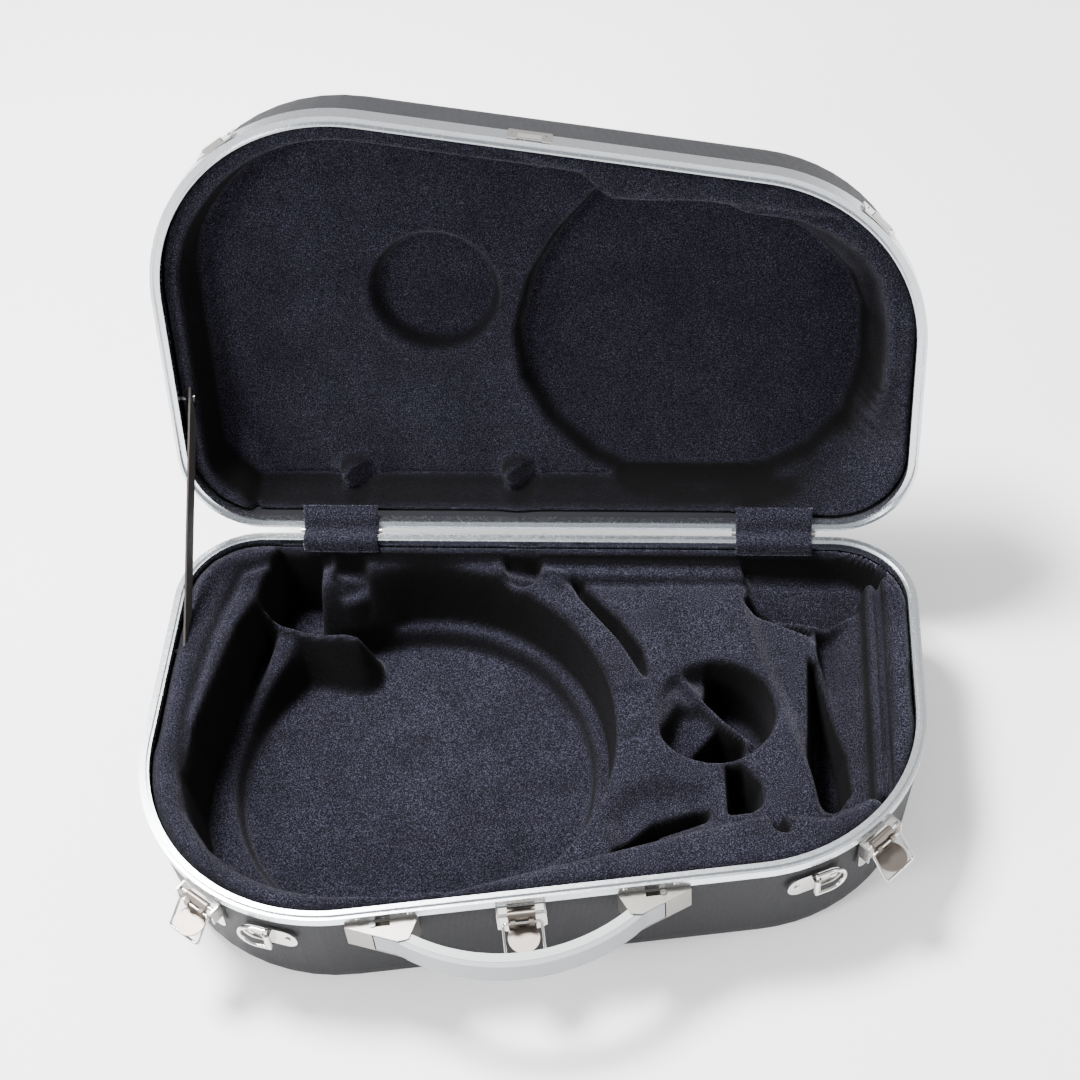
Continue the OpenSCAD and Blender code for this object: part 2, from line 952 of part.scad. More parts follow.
base_shell();
base_rim();
base_floor_pad();
bell_ledge_pad();
bell_wall_pad();
rear_corner_pad();
valve_block();
slide_block();
accessory_wall();
left_edge_pad();
front_edge_pad();
right_edge_pad();
rear_edge_pad();
lid_shell();
lid_rim();
lid_main_pad();
lid_front_block();
lid_left_pad();
lid_front_pad();
lid_right_pad();
lid_rear_pad();
hinge_leaf_base(0);  // hinge_leaf_base_left
hinge_leaf_base(1);  // hinge_leaf_base_right
hinge_leaf_lid(0);  // hinge_leaf_lid_left
hinge_leaf_lid(1);  // hinge_leaf_lid_right
hinge_pins();
hinge_cover(0);  // hinge_cover_left
hinge_cover(1);  // hinge_cover_right
lid_strap();
strap_anchor_base();
strap_anchor_lid();
latch_plate(0);  // latch_plate_left
latch_plate(1);  // latch_plate_centre
latch_plate(2);  // latch_plate_right
latch_lever(0);  // latch_lever_left
latch_lever(1);  // latch_lever_centre
latch_lever(2);  // latch_lever_right
latch_bail(0);  // latch_bail_left
latch_bail(1);  // latch_bail_centre
latch_bail(2);  // latch_bail_right
latch_pins();
latch_rivets();
strike(0);  // strike_left
strike(1);  // strike_centre
strike(2);  // strike_right
strike_rivets();
ring_plate(0);  // ring_plate_left
ring_plate(1);  // ring_plate_right
carry_ring(0);  // carry_ring_left
carry_ring(1);  // carry_ring_right
ring_rivets();
handle_bracket(-1);  // handle_bracket_left
handle_bracket(1);  // handle_bracket_right
handle_grip();
handle_insert();
handle_pin(-1);  // handle_pin_left
handle_pin(1);  // handle_pin_right
bracket_screws();
hinge_rivets_base();
hinge_rivets_lid();
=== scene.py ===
import math

import bpy
import numpy as np
from mathutils import Matrix, Vector


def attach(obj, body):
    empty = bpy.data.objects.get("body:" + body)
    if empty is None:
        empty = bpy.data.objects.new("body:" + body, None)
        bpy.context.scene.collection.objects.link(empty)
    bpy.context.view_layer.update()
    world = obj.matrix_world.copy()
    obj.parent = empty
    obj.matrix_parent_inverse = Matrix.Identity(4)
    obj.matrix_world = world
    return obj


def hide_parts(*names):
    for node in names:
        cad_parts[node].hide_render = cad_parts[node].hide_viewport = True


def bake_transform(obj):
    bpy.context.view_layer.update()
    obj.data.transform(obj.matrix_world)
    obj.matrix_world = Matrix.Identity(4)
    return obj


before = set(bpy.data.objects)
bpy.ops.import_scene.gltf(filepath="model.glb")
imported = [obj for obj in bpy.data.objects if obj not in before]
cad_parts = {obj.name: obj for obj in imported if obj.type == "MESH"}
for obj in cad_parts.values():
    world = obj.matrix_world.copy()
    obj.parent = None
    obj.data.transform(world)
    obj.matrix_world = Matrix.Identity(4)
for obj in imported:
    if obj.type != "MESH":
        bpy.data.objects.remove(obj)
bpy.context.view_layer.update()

# Lengths are in mm in the CAD frame up to the studio, which is in Blender's metres.
MM = 0.001
BASE_H = 116.0  # rim plane of the base
LID_H = 84.0  # the lid's height over its rim plane
REAR_Y = 176.5
HINGE_Y = 187.3
LID_OPEN = math.radians(106.45)
GRID_STEP = 2.0
LINING_INSET = 0.7
LINING_THICK = 1.0
LINING_SKIRT = 14.0  # most the under-surface may drop below the top
FULL_TURN = 6.28  # range of a random phase
FAR = 1e9

# ---- plan of the case: corner circles joined by straight edges ----

SLOPE = math.radians(8.7)  # the front edge runs closer to the hinges at the right
HALF_W = 300.0
FRONT_Y = 156.5


def corner_y(x, r):
    """Centre of a front corner's circle, so that it touches the sloping front edge."""
    return -FRONT_Y + (r + x * math.sin(SLOPE)) / math.cos(SLOPE)


LEFT_R, RIGHT_R, REAR_R = 147.0, 142.0, 60.0
LEFT_C = (-HALF_W + LEFT_R, corner_y(-HALF_W + LEFT_R, LEFT_R))
RIGHT_C = (HALF_W - RIGHT_R, corner_y(HALF_W - RIGHT_R, RIGHT_R))
FRONT_A = math.degrees(SLOPE) - 90
CORNERS = [
    (LEFT_C, LEFT_R, -180, FRONT_A),
    (RIGHT_C, RIGHT_R, FRONT_A, 0),
    ((HALF_W - REAR_R, REAR_Y - REAR_R), REAR_R, 0, 90),
    ((-HALF_W + REAR_R, REAR_Y - REAR_R), REAR_R, 90, 180),
]


def outline(e, steps=40):
    """The plan grown by e, as a closed polygon."""
    points = []
    for (cx, cy), r, a0, a1 in CORNERS:
        for i in range(steps + 1):
            a = math.radians(a0 + (a1 - a0) * i / steps)
            points.append((cx + (r + e) * math.cos(a), cy + (r + e) * math.sin(a)))
    return np.array(points)


def sd_poly(p, poly):
    """Signed distance from points p to a closed polygon, negative inside."""
    poly = np.asarray(poly, float)
    best = np.full(len(p), FAR)
    within = np.zeros(len(p), bool)
    for a, b in zip(poly, np.roll(poly, -1, 0)):
        d = b - a
        n = max(d @ d, 1e-12)
        t = np.clip(((p - a) @ d) / n, 0, 1)
        best = np.minimum(best, np.hypot(*(p - a - t[:, None] * d).T))
        crosses = (a[1] > p[:, 1]) != (b[1] > p[:, 1])
        with np.errstate(divide="ignore", invalid="ignore"):
            x = a[0] + (p[:, 1] - a[1]) * d[0] / (d[1] if d[1] else 1e-12)
        within ^= crosses & (p[:, 0] < x)
    return np.where(within, -best, best)


def sd_line(p, line):
    """Distance to an open line, and how far along it from 0 to 1."""
    line = np.asarray(line, float)
    best = np.full(len(p), FAR)
    along = np.zeros(len(p))
    lengths = np.hypot(*(line[1:] - line[:-1]).T)
    total = lengths.sum()
    start = 0.0
    for a, b, length in zip(line[:-1], line[1:], lengths):
        d = b - a
        t = np.clip(((p - a) @ d) / (d @ d), 0, 1)
        q = np.hypot(*(p - a - t[:, None] * d).T)
        near = q < best
        best = np.where(near, q, best)
        along = np.where(near, (start + t * length) / total, along)
        start += length
    return best, along


def sd_circle(p, c, r):
    return np.hypot(p[:, 0] - c[0], p[:, 1] - c[1]) - r


def ease(t):
    t = np.clip(t, 0, 1)
    return t * t * (3 - 2 * t)


def inside(sd, width):
    """1 well inside a shape, 0 outside, over a band of that width inwards from its edge."""
    return ease(-sd / width)


def mix(a, b, w):
    return a * (1 - w) + b * w


def swell(distance, width):
    """1 on a line, fading smoothly to 0 over about that distance from it."""
    return np.exp(-((distance / width) ** 2))


def groove(h, distance, depth, width):
    return h - depth * swell(distance, width)


def lumps(p, scale, seed):
    """Smooth unevenness of hand-laid padding, about -1 to 1."""
    rng = np.random.default_rng(seed)
    total = np.zeros(len(p))
    for _ in range(10):
        a = rng.uniform(0, 2 * math.pi)
        k = rng.uniform(0.6, 1.6) * 2 * math.pi / scale
        total += np.sin(k * (p[:, 0] * math.cos(a) + p[:, 1] * math.sin(a)) + rng.uniform(0, FULL_TURN))
    return total / 4


def gathers(p, line, pitch, reach, seed):
    """Small folds across a line where cloth is gathered, fading away from it."""
    rng = np.random.default_rng(seed)
    d, along = sd_line(p, line)
    length = np.hypot(*np.diff(np.asarray(line, float), axis=0).T).sum()
    phase = along * length / pitch
    wobble = 0.25 * np.sin(phase * 1.7 + rng.uniform(0, FULL_TURN))
    ends = ease(along * 5) * ease((1 - along) * 5)
    return np.sin((phase + wobble) * 2 * math.pi) * swell(d, reach) * ends


# ---- base lining: plan shapes, then heights from the rim plane (negative is down) ----

BELL = (-102.0, 0.0)
BELL_R = 166.0  # wall of the round pocket
BELL_FLOOR_R = 152.0  # inner edge of its ledge
LEFT_SEAM = [(-232, 160), (-258, 150), (-268, 112), (-275, 60), (-279, 0), (-275, -45), (-264, -88)]
LEFT_EDGE = [
    (-225, 168), (-243, 118), (-251, 96), (-259, 45), (-269, -12), (-268, -55), (-256, -92),
    (-235, -121), (-209, -139), (-180, -151), (-145, -158), (-90, -156), (-38, -147), (28, -124),
    (80, -112), (80, 250), (-225, 250)
]
FRONT_EDGE = [
    (-60, -152), (28, -125), (51, -118), (110, -99), (178, -79), (190, -77), (214, -79), (231, -79),
    (262, -60), (273, -64), (330, -120), (100, -260), (-100, -260)
]
NOTCH = [(181, -72), (192, -72), (202, -99), (190, -97)]
COMPARTMENT = [(-243, 172), (-194, 172), (-191, 118), (-224, 121), (-243, 128)]
SLOT = [(18, 164), (30, 158), (65, 120), (85, 89), (91, 58), (84, 62), (64, 96), (30, 139)]
FOLD = [(141, 180), (162, 157), (166, 128), (180, 77), (196, 29), (207, -4), (219, -40), (224, -70)]
LOW_FRONT = [(60, -120), (52, -70), (74, -40), (110, -32), (150, -36), (156, -80), (110, -110)]
VALVE = (143.0, 28.0)
VALVE_R = 50.0
RIDGE = [(108, 72), (123, 55), (136, 40), (172, 10)]
VALVE_WELL = [(136, 84), (135, 46), (141, 41), (172, 14), (192, -6), (212, 20), (190, 75), (160, 92)]
VALVE_LOWER = [(96, 4), (112, 42), (136, 42), (168, 12), (160, -22), (100, -20)]
SQUARE = [(146, 26), (170, 14), (163, -16), (150, -19), (124, 1)]
CHANNEL = [(152, -22), (166, -22), (181, -40), (182, -58), (174, -66), (154, -69)]
CRESCENT = [(62, -105), (96, -73), (130, -61), (142, -62), (140, -70), (104, -84), (72, -106)]
WEDGE = [(219, 88), (228, 84), (249, -2), (252, -40), (236, -66), (226, -60), (217, -14)]
BOX = [(168, 157), (172, 135), (222, 120), (236, 118), (288, 150), (280, 166), (240, 171), (170, 170)]
GUTTER = [(168, 140), (178, 128), (221, 110), (228, 90), (224, 116), (196, 132), (172, 150)]
RIGHT_BLOCK = [(224, 118), (240, 120), (292, 160), (292, -70), (250, -62), (226, 90)]
LEFT_VOID = [(-102, 132), (-190, 118), (-243, 124), (-290, 30), (-290, -90), (-200, -150), (-102, -150)]
RAMP = [(-238, 132), (-196, 128), (-206, 100), (-240, 20), (-262, 8), (-262, 40)]
COMPARTMENT_SEAM = [(-245, 128), (-224, 121), (-190, 116), (-160, 112)]
BASE_SOCKETS = [(-168, 158), (-20, 166)]
SOCKET_R = 17.0


def base_height(p):
    """Height of the padding at plan points p. Later lines carve or cover what earlier ones made."""
    x, y = p[:, 0], p[:, 1]
    e = sd_poly(p, outline(0))
    r = np.hypot(x - BELL[0], y - BELL[1])
    a = np.degrees(np.arctan2(y - BELL[1], x - BELL[0]))
    h = np.full(len(p), -30.0) + 0.8 * lumps(p, 120, 3)
    # plateau falls off beyond the fold towards the accessory space
    right = sd_poly(p, FOLD + [(400, -70), (400, 300), (141, 300)])
    h = mix(h, -36 - 0.06 * np.clip(x - 190, 0, 80), inside(right, 14))
    fold, _ = sd_line(p, FOLD)
    h = h + 1.6 * swell(fold, 2.2)
    # rear strip with a crease along it
    rear = REAR_Y - y
    h = mix(h, -24.0, ease((20 - rear) / 3) * (x < 168) * (x > -186))
    h = groove(h, np.where((x > 20) & (x < 165), rear - 21, 99), 2.5, 1.6)
    # plateau rounds up to the ring that carries the bell's edge
    h = h + 3.0 * ease((r - BELL_R) / 10) * ease((200 - r) / 10) * (a > 15) * (a < 128)
    h = mix(h, -64.0, inside(sd_poly(p, SLOT), 6))
    # gathered knob at the end of the slot
    knob = sd_circle(p, (9, 156), 13)
    h = h + 6 * inside(knob, 12) + 0.9 * gathers(p, [(2, 148), (20, 165)], 4, 7, 5)
    # lower front of the plateau, towards the crescent slot
    h = mix(h, -40.0, inside(sd_poly(p, LOW_FRONT), 22))
    h = mix(h, -74.0, inside(sd_poly(p, CRESCENT), 6))
    # valve pocket: a padded slope on the left, a ridge across, a deep square hole and a deep right side
    valve = sd_circle(p, VALVE, VALVE_R)
    dig = inside(valve, 9)
    left = -33 - 0.42 * np.clip(x - 92, 0, 60) + 2 * np.cos((y - 30) / 20)
    floor = mix(left, -56 - 0.25 * np.clip(30 - y, 0, 60), inside(sd_poly(p, VALVE_LOWER), 8))
    floor = mix(floor, -100.0, inside(sd_poly(p, VALVE_WELL), 6))
    ridge, _ = sd_line(p, RIDGE)
    floor = floor + 9 * swell(ridge, 4)
    floor = mix(floor, -96.0, inside(sd_poly(p, SQUARE), 5))
    h = mix(h, np.minimum(floor, h), dig)
    h = mix(h, -84.0, inside(sd_poly(p, CHANNEL), 6))
    # rear right box: sloping faces meeting at a fold
    slope_a = -42 - 0.55 * np.clip(160 - y, 0, 60) - 0.05 * (x - 168)
    slope_b = -36 - 0.75 * np.clip(286 - x, 0, 60)
    h = mix(h, np.maximum(slope_a, slope_b), inside(sd_poly(p, BOX), 7))
    h = mix(h, -82.0, inside(sd_poly(p, GUTTER), 6))
    # right block, falling to the deep wedge
    fall = -24 - 0.85 * np.clip(276 - x, 0, 55)
    h = mix(h, fall, inside(sd_poly(p, RIGHT_BLOCK), 9))
    h = mix(h, -92.0, inside(sd_poly(p, WEDGE), 8))
    # round pocket for the bell
    ledge = np.full(len(p), -90.0)
    wall_width = mix(np.full(len(p), 9.0), 34.0, ease((a - 96) / 14) * ease((150 - a) / 16))
    pocket = mix(h, ledge, ease((BELL_R + wall_width * 0.25 - r) / wall_width))
    pocket = mix(pocket, ledge, inside(sd_poly(p, LEFT_VOID), 5))
    rise = -94 + 0.42 * np.clip(y - 30, 0, 110)
    pocket = mix(pocket, np.maximum(rise, ledge), inside(sd_poly(p, RAMP), 14))
    h = mix(pocket, -109.0, ease((BELL_FLOOR_R - r) / 9))
    # square corner compartment with a raised seam along its front
    h = mix(h, -88.0, inside(sd_poly(p, COMPARTMENT), 4))
    seam, _ = sd_line(p, COMPARTMENT_SEAM)
    h = np.maximum(h, -50 + 3 * np.cos(x / 9) - seam * 3)
    # plug sockets
    for c in BASE_SOCKETS:
        socket = sd_circle(p, c, SOCKET_R)
        h = mix(h, np.maximum(h - 14 + 6 * (c[0] - x + c[1] - y) / SOCKET_R, -46), inside(socket, 5))
        h = h + 1.6 * swell(sd_circle(p, c, SOCKET_R + 3), 4) * (y < c[1] + 8)
    # padded edges under the rim
    left_edge = sd_poly(p, LEFT_EDGE)
    seam, _ = sd_line(p, LEFT_SEAM)
    outer = np.clip(-e / 24, 0, 1.6)
    left_roll = -3.5 - 6.5 * np.clip(1 - outer * 2.2, 0, 1) ** 3 - 9.0 * np.clip(outer - 0.5, 0, 2) ** 1.4
    left_roll = left_roll + 2.5 * swell(outer - 0.45, 0.25)
    left_roll = groove(left_roll, seam, 7.0, 3.2)
    left_roll = left_roll + 0.8 * lumps(p, 60, 12)
    left_roll += 1.0 * gathers(p, [(-150, -160), (-110, -164), (-60, -160)], 3.6, 5, 8)
    left_roll += 1.0 * gathers(p, [(-236, 168), (-250, 156), (-262, 132)], 4.2, 8, 9)
    left_roll -= 6 * swell(left_edge, 5)
    h = np.where(x < 30, mix(h, left_roll, ease(left_edge / 6 + 0.15)), h)
    front = sd_poly(p, FRONT_EDGE)
    roll = -3.5 - 7 * swell(front, 6) - 5 * swell(e, 5) + 0.9 * lumps(p, 70, 11)
    roll += 1.2 * gathers(p, [(192, -108), (212, -100), (232, -90)], 4.2, 8, 4)
    roll = mix(roll, -46.0, inside(sd_poly(p, NOTCH), 4))
    h = np.where(x > -60, mix(h, roll, ease(-front / 6 + 0.15)), h)
    # right wall: outer roll, groove, inner roll
    wall = ease((x - 262) / 5) * ease((y + 66) / 8) * (y < 150)
    inner = -15 - 10 * ((x - 271) / 6) ** 2
    outer_strip = -5 - 7 * (np.clip(-e - 9, -9, 9) / 9) ** 4
    profile = np.where(x < 279, np.maximum(inner, -30), outer_strip)
    h = mix(h, np.clip(profile, -34, 0), wall)
    # rear and corner wall lining
    thin = ease((-e - 3.5) / 2.2)
    rear_zone = (y > 60) & (x > -262) | (y > 135)
    top = -3.5 - 4 * swell(e, 2.5)
    h = np.where(rear_zone & (e > -6.5), mix(np.full(len(p), 0.0) + top, h, thin), h)
    # every edge tucks under the rim
    return h - 3 * ease((e + 2.2) / 1.6)


# ---- lid lining: depths below the lid's rim plane, in the shut lid's plan ----

RECESS = (-87.0, -13.0)
LID_FLOOR = [
    (48, -101), (15, -65), (-9, -26), (-22, 22), (-18, 67), (4, 110), (38, 147), (69, 164), (136, 170),
    (184, 160), (221, 141), (250, 108), (264, 55), (262, 3), (251, -27), (223, -58), (192, -82),
    (135, -98), (62, -101)
]
LID_LIP = [
    (50, -115), (207, -96), (228, -87), (255, -69), (272, -45), (279, -16), (281, 24), (278, 60), (268, 95),
    (244, 132), (205, 160), (150, 176), (60, 176)
]
LID_BLOCK = [
    (10, -137), (36, -131), (50, -115), (62, -107), (92, -106), (135, -105), (207, -96), (240, -92),
    (300, -140), (300, -220), (-20, -220), (-20, -150)
]
LID_CREASE = [(-250, 160), (-120, 161), (60, 161), (84, 166)]
LID_SOCKETS = [(-165, 155), (-25, 155)]


def shell_inside(e, height, edge, rise):
    """Height of a shell's inner face from the rim plane, rounded up towards the outline."""
    d = np.clip(-e - 0.5, 0, edge)
    return -height + 3.6 + rise * (1 - np.sqrt(np.clip(1 - ((edge - d) / edge) ** 2, 0, 1)))


def base_floor(e):
    return shell_inside(e, BASE_H, 22, 20)


def lid_roof(e):
    return shell_inside(e, LID_H, 24, 22)


def lid_depth(p):
    """Depth of the lid's padding below its rim plane at plan points p, built up like base_height."""
    x, y = p[:, 0], p[:, 1]
    e = sd_poly(p, outline(0))
    floor = sd_poly(p, LID_FLOOR)
    d = 52 + 1.2 * lumps(p, 150, 21) + 20 * ease(-floor / 8 + 0.4)
    # bell ring recess with a rounded edge
    ring = np.hypot(x - RECESS[0], y - RECESS[1])
    d = d + 17 * ease((55 - ring) / 9) - 1.5 * swell(ring - 56, 6)
    d = d - 1.5 * swell(floor - 5, 5) * (x < 100)
    # right wall rises from the pocket to a lip, then to the rim
    lip = sd_poly(p, LID_LIP)
    lip_depth = 12 + 34 * ease((y - 30) / 110)
    t = np.clip(floor, 0, 99) / np.maximum(np.clip(floor, 0, 99) + np.clip(-lip, 0, 99), 0.01)
    wall = mix(d, lip_depth, ease(t))
    beyond = np.clip(lip, 0, 99) / np.maximum(np.clip(lip, 0, 99) + np.clip(-e - 2, 0.5, 99), 0.01)
    wall = np.where(lip > 0, mix(lip_depth, 9.0, beyond ** 0.7), wall)
    wall = wall - 3.0 * swell(lip, 6) * (y < 90)
    d = mix(d, wall, ease((x - 120) / 50))
    # side wall of the left half
    near = np.clip(-e, 0, 60) + 60 * ease((x + 262) / 30) * ease((y - 90) / 40)
    d = np.where(x < 60, 11 + (d - 11) * ease((near - mix(11.0, 15.0, ease((-y - 60) / 60))) / 11), d)
    # rear edge: a sloping padded strip meeting the main pad in a crease
    rear = REAR_Y - y
    strip = 13 + (np.minimum(d, 56) - 13) * np.clip((rear - 1) / 15, 0, 1) ** 0.85
    d = np.where((rear < 16) & (x < 230), np.minimum(d, strip), d)
    line, _ = sd_line(p, LID_CREASE)
    d = d + 3.5 * swell(line, 1.8)
    # thick block at the front right
    block = sd_poly(p, LID_BLOCK)
    top = 7 + 1.2 * lumps(p, 60, 31) + 5 * swell(block, 6) + 3 * swell(e, 4)
    d = mix(d, top, ease(-block / 6 + 0.2) * (x > -20))
    # plug sockets in the rear edge
    for c in LID_SOCKETS:
        socket = sd_circle(p, c, SOCKET_R)
        bowl = 40 + 16 * (x - c[0]) / SOCKET_R + 6 * (y - c[1]) / SOCKET_R
        d = mix(d, bowl, inside(socket, 7))
        d = d - 2.5 * swell(socket - 2, 4)
    d = d + 1.1 * gathers(p, [(-268, -60), (-245, -100), (-200, -136)], 4.4, 7, 41)
    d = d + 1.3 * gathers(p, [(190, -112), (235, -96), (266, -60)], 4.8, 9, 42)
    d = d + 1.6 * gathers(p, [(276, 40), (270, 90), (244, 140)], 9, 12, 43)
    d = d + 1.0 * gathers(p, [(-285, 90), (-270, 140), (-236, 170)], 4.4, 9, 44)
    # tucks under the rim
    d = d + 3 * ease((e + 2.2) / 1.6)
    return np.clip(np.minimum(d, -lid_roof(e) - 2.5), 3.5, 76)


# ---- building a lining as a closed mesh ----


def shade_smooth(o, on):
    o.data.polygons.foreach_set("use_smooth", np.full(len(o.data.polygons), on))
    o.data.update()


def new_object(name, verts, faces, smooth=True):
    me = bpy.data.meshes.new(name)
    me.from_pydata([tuple(v) for v in verts], [], faces)
    me.validate()
    me.update()
    o = bpy.data.objects.new(name, me)
    bpy.context.scene.collection.objects.link(o)
    shade_smooth(o, smooth)
    return o


def plan_grid(step, inset):
    """Grid points and quads inside the outline, the border ones moved on to the line."""
    xs = np.arange(-304, 304.1, step)
    ys = np.arange(-176, 180.1, step)
    gx, gy = np.meshgrid(xs, ys)
    p = np.stack([gx.ravel(), gy.ravel()], 1)
    ring = outline(-inset)
    e = sd_poly(p, ring)
    nx, ny = len(xs), len(ys)
    centre = sd_poly(p + step / 2, ring).reshape(ny, nx)
    quads = []
    for j in range(ny - 1):
        for i in np.nonzero(centre[j, :-1] < -0.15 * step)[0]:
            k = j * nx + i
            quads.append((k, k + 1, k + nx + 1, k + nx))
    used = np.unique(np.array(quads))
    near = used[e[used] > -0.7 * step]
    q = p[near]
    h = 0.25
    slopes = [(sd_poly(q + d, ring) - sd_poly(q - d, ring)) / (2 * h) for d in ([h, 0], [0, h])]
    gradient = np.stack(slopes, 1)
    p[near] = q - gradient * e[near][:, None]
    index = np.full(len(p), -1)
    index[used] = np.arange(len(used))
    return p[used], [tuple(int(index[k]) for k in quad) for quad in quads]


def edges_of(quad):
    return zip(quad, quad[1:] + quad[:1])


def border(quads):
    """Edges that only one quad has, in order of their first use."""
    edges = {}
    for quad in quads:
        for a, b in edges_of(quad):
            if (b, a) in edges:
                del edges[(b, a)]
            else:
                edges[(a, b)] = True
    return list(edges)


def relax(z, quads, count, rounds):
    """Light smoothing of heights over the mesh, so creases read as cloth."""
    pairs = np.array([edge for quad in quads for edge in edges_of(quad)])
    degree = np.bincount(pairs.ravel(), minlength=count).astype(float)
    for _ in range(rounds):
        total = np.zeros(count)
        np.add.at(total, pairs[:, 0], z[pairs[:, 1]])
        np.add.at(total, pairs[:, 1], z[pairs[:, 0]])
        z = 0.5 * z + 0.5 * total / degree
    return z


def lining(name, height, place, floor):
    """Closed mesh of a lining: its height surface on top, and below it a skin that stays inside the shell."""
    p, quads = plan_grid(GRID_STEP, LINING_INSET)
    z = relax(height(p), quads, len(p), 2)
    e = sd_poly(p, outline(0))
    under = np.minimum(z - LINING_THICK, np.maximum(floor(e), z - LINING_SKIRT))
    top = np.column_stack([p, z])
    bottom = np.column_stack([p, under])
    n = len(p)
    faces = list(quads)
    faces += [tuple(n + k for k in reversed(q)) for q in quads]
    faces += [(b, a, n + a, n + b) for a, b in border(quads)]
    verts = place(np.vstack([top, bottom])) * MM
    return new_object(name, verts, faces)


def in_base(v):
    return v + [0, 0, BASE_H]


def in_lid(v):
    """Plan points of the shut lid, with heights from its rim plane, to where the open lid has them."""
    y, z = v[:, 1] - HINGE_Y, -v[:, 2]
    c, s = math.cos(LID_OPEN), math.sin(LID_OPEN)
    return np.column_stack([v[:, 0], HINGE_Y + y * c + z * s, BASE_H - y * s + z * c])


# ---- materials ----


class Nodes:
    """Short helpers to wire one material."""

    def __init__(self, name):
        self.m = bpy.data.materials.new(name)
        self.m.use_nodes = True
        self.t = self.m.node_tree
        self.t.nodes.clear()

    def add(self, kind, **inputs):
        """New node. Each keyword sets the input of that name, or else the node's own property."""
        n = self.t.nodes.new(kind)
        for k, v in inputs.items():
            key = k.replace("_", " ")
            if key in n.inputs:
                n.inputs[key].default_value = v
            else:
                setattr(n, k, v)
        return n

    def link(self, a, b):
        self.t.links.new(a, b)

    def bsdf(self, **inputs):
        b = self.add("ShaderNodeBsdfPrincipled", **inputs)
        out = self.add("ShaderNodeOutputMaterial")
        self.link(b.outputs[0], out.inputs["Surface"])
        return b

    def coords(self, scale=(1.0, 1.0, 1.0)):
        c = self.add("ShaderNodeTexCoord")
        mapping = self.add("ShaderNodeMapping", Scale=scale)
        self.link(c.outputs["Object"], mapping.inputs["Vector"])
        return mapping.outputs["Vector"]

    def noise(self, scale, detail=2.0, vector=None):
        n = self.add("ShaderNodeTexNoise", Scale=scale, Detail=detail)
        self.link(vector or self.coords(), n.inputs["Vector"])
        return n.outputs["Fac"]

    def ramp(self, value, stops):
        """Colour ramp through (position, colour) stops, of which there are two or more."""
        r = self.add("ShaderNodeValToRGB")
        while len(r.color_ramp.elements) < len(stops):
            r.color_ramp.elements.new(1)
        for stop, (position, colour) in zip(r.color_ramp.elements, stops):
            stop.position = position
            stop.color = (*colour, 1)
        self.link(value, r.inputs["Fac"])
        return r.outputs["Color"]

    def between(self, value, from_low, from_high, low, high):
        """value taken from one range to another, and held to the new one."""
        r = self.add("ShaderNodeMapRange", From_Min=from_low, From_Max=from_high, To_Min=low, To_Max=high)
        self.link(value, r.inputs["Value"])
        return r.outputs["Result"]

    def span(self, value, low, high):
        return self.between(value, 0.0, 1.0, low, high)

    def times(self, a, b):
        product = self.add("ShaderNodeMath", operation="MULTIPLY")
        self.link(a, product.inputs[0])
        self.link(b, product.inputs[1])
        return product.outputs[0]

    def bump(self, value, strength, distance, after=None):
        b = self.add("ShaderNodeBump", Strength=strength, Distance=distance)
        self.link(value, b.inputs["Height"])
        if after is not None:
            self.link(after, b.inputs["Normal"])
        return b.outputs["Normal"]


VELOUR_SPECKLE = [
    (0.38, (0.0012, 0.0012, 0.0026)),
    (0.54, (0.006, 0.006, 0.011)),
    (0.66, (0.036, 0.034, 0.054)),
]


def velour(name, painted_shade_up):
    """Speckled pile. Given an up direction, faces turned that way are paler and the pad's walls darker:
    painted shade in the colour and sheen.
    """
    n = Nodes(name)
    b = n.bsdf(Roughness=0.95, Specular_IOR_Level=0.12,
               Sheen_Roughness=0.45, Sheen_Tint=(0.79, 0.77, 0.97, 1))
    fine = n.noise(1050, 3)
    crushed = n.noise(24, 4)
    colour = n.ramp(fine, VELOUR_SPECKLE)
    sheen = n.between(fine, 0.38, 0.64, 0.02, 0.36)
    if painted_shade_up:
        # painted shade: colour and sheen fall to 0.04 on walls turned from the up direction, times a broad
        # crushed-pile variation
        facing = n.add("ShaderNodeVectorMath", operation="DOT_PRODUCT")
        n.link(n.add("ShaderNodeTexCoord").outputs["Normal"], facing.inputs[0])
        facing.inputs[1].default_value = painted_shade_up
        painted_wall_shade = n.between(facing.outputs["Value"], 0.30, 0.96, 0.04, 1.0)
        wall_shade_and_crush = n.times(painted_wall_shade, n.between(crushed, 0.3, 0.7, 0.72, 1.12))
        scale = n.add("ShaderNodeVectorMath", operation="SCALE")
        n.link(colour, scale.inputs[0])
        n.link(wall_shade_and_crush, scale.inputs["Scale"])
        colour = scale.outputs[0]
        sheen = n.times(sheen, wall_shade_and_crush)
    n.link(colour, b.inputs["Base Color"])
    n.link(sheen, b.inputs["Sheen Weight"])
    n.link(n.bump(fine, 0.7, 0.0012, n.bump(crushed, 0.25, 0.004)), b.inputs["Normal"])
    return n.m


def shell_skin():
    """Near-black plastic with fine diagonal ribs."""
    n = Nodes("shell_skin")
    b = n.bsdf(Specular_IOR_Level=0.2)
    turn = n.add("ShaderNodeMapping", Rotation=[math.radians(a) for a in (45, 35, 45)])
    n.link(n.coords(), turn.inputs["Vector"])
    w = n.add("ShaderNodeTexWave", Scale=210, Distortion=0.6, Detail=1)
    n.link(turn.outputs["Vector"], w.inputs["Vector"])
    fine = n.noise(700, 2)
    ribs = n.ramp(w.outputs["Fac"], [(0.0, (0.002, 0.002, 0.0025)), (1.0, (0.019, 0.019, 0.023))])
    n.link(ribs, b.inputs["Base Color"])
    n.link(n.span(fine, 0.42, 0.62), b.inputs["Roughness"])
    n.link(n.bump(fine, 0.2, 0.0004, n.bump(w.outputs["Fac"], 0.6, 0.0006)), b.inputs["Normal"])
    return n.m


